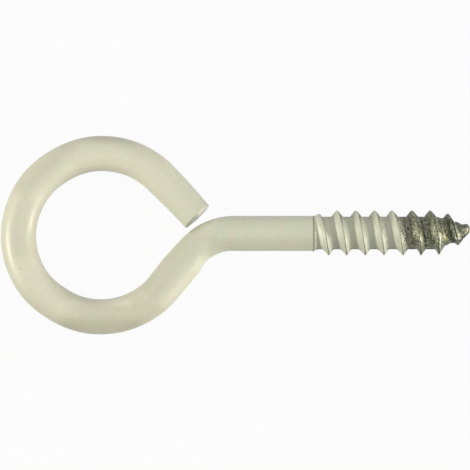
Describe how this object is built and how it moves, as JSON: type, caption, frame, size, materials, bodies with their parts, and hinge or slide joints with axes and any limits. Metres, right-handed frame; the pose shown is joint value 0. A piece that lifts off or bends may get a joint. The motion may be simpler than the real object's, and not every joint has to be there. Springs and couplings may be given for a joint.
{
  "type": "screw eye",
  "caption": "Cream-coated steel wire bent into an open round eye on a short shank, with a coarse right-hand wood thread and a tapered bare point.",
  "frame": {"origin": "centre of the eye, in the mid plane of the wire", "axes": "+X along the shank from the eye to the point, +Z along the eye's own axis and up as the part lies, +Y towards the eye's cut end"},
  "size_m": [0.06, 0.0254, 0.0058],
  "materials": {
    "coated_steel": "semi-gloss cream coat over steel, worn to bare grey steel at the threaded point"
  },
  "bodies": {
    "root": {"screw_eye": "coated_steel"}
  },
  "joints": []
}
